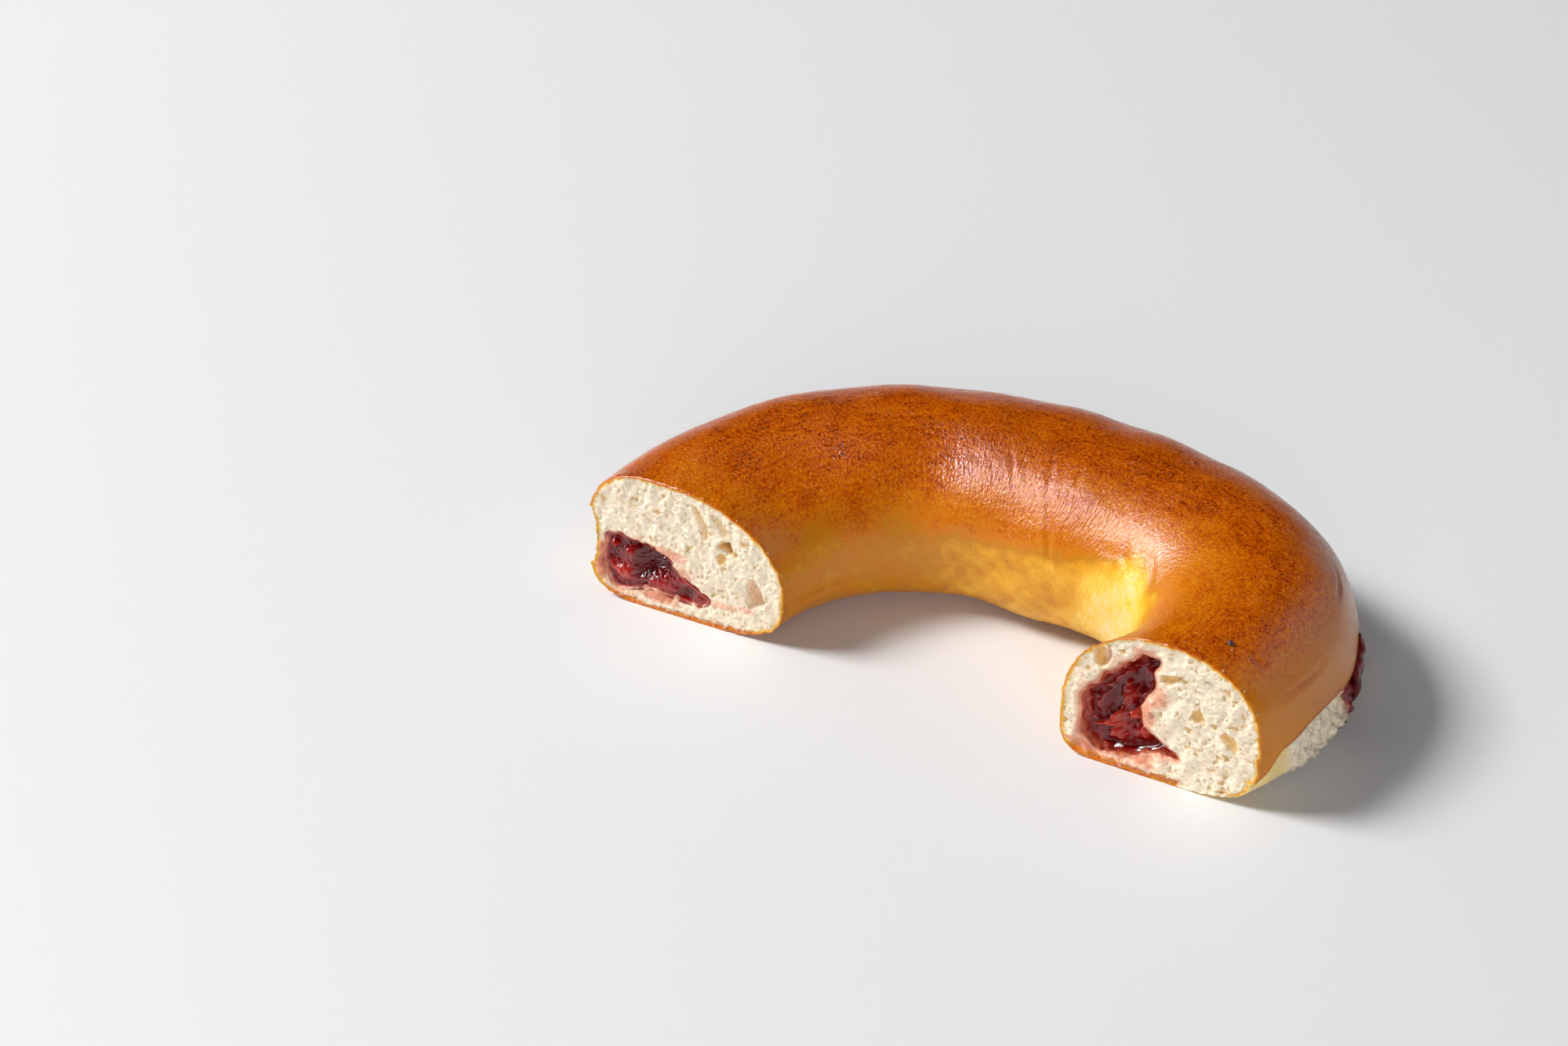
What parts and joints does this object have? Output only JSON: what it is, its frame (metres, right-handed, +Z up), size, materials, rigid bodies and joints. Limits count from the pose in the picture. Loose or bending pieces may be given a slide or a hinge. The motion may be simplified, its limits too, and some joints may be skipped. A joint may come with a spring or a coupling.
{
  "type": "jam-filled bread ring half",
  "caption": "Half of a glazed bread ring filled with red jam, cut straight across, with a burst seam and leaked jam on its outer side.",
  "frame": {"origin": "middle of the part's box, on the surface it lies on", "axes": "+Z up, X along the two cut faces from the left cut to the right cut, both cut faces look towards -Y and the bend towards +Y"},
  "size_m": [0.2072, 0.1074, 0.0473],
  "materials": {
    "bread": "egg-glazed crust, deep orange-brown on top and golden at the sides, over cream crumb",
    "jam": "dark red translucent glossy jam"
  },
  "bodies": {
    "root": {"bread": "bread", "jam_filling": "jam"}
  },
  "joints": []
}
